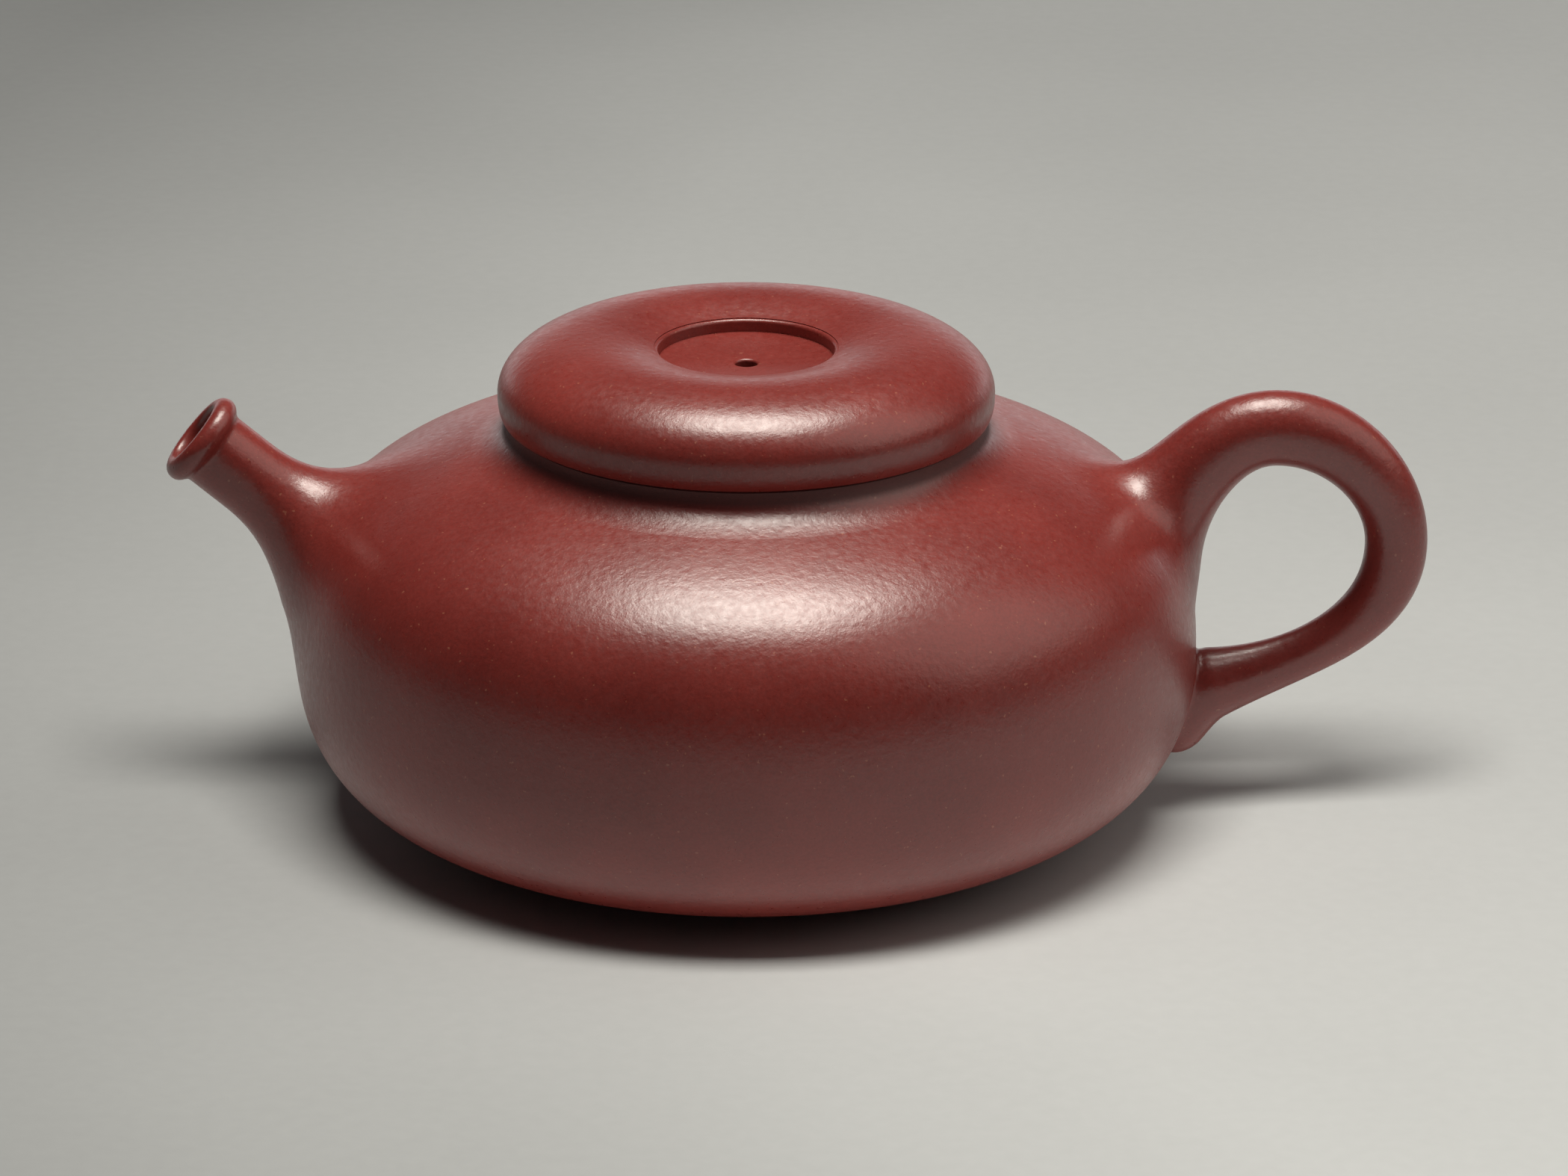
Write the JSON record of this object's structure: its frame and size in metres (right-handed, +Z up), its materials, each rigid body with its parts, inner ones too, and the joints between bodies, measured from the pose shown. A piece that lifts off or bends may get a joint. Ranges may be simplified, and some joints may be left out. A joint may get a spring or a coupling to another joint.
{
  "type": "teapot",
  "caption": "Low round clay teapot with a short flared spout, an ear handle and a lift-off cushion lid with a sunk disc and vent hole.",
  "frame": {"origin": "centre of the foot, in the plane the pot stands on", "axes": "+Z up through the middle of body and lid, +X towards the handle, -X towards the spout, +Y to the far side of the pot when the spout is on the left"},
  "size_m": [0.1533, 0.11, 0.0619],
  "materials": {
    "clay": "satin unglazed stoneware, burnished outside",
    "clay_inside": "matt unglazed stoneware, unburnished inside"
  },
  "bodies": {
    "pot": {"foot_ring": "clay", "base_plate": "clay_inside", "body_wall": "clay", "top_plate": "clay", "neck_ring": "clay", "spout": "clay", "strainer": "clay_inside", "handle": "clay"},
    "lid": {"lid_crown": "clay", "lid_plate": "clay_inside", "lid_flange": "clay_inside", "lid_disc": "clay"}
  },
  "joints": [
    {"name": "lid_lift", "type": "slide", "parent": "pot", "child": "lid", "axis": [0, 0, 1], "range_m": [0, 0.05]}
  ]
}
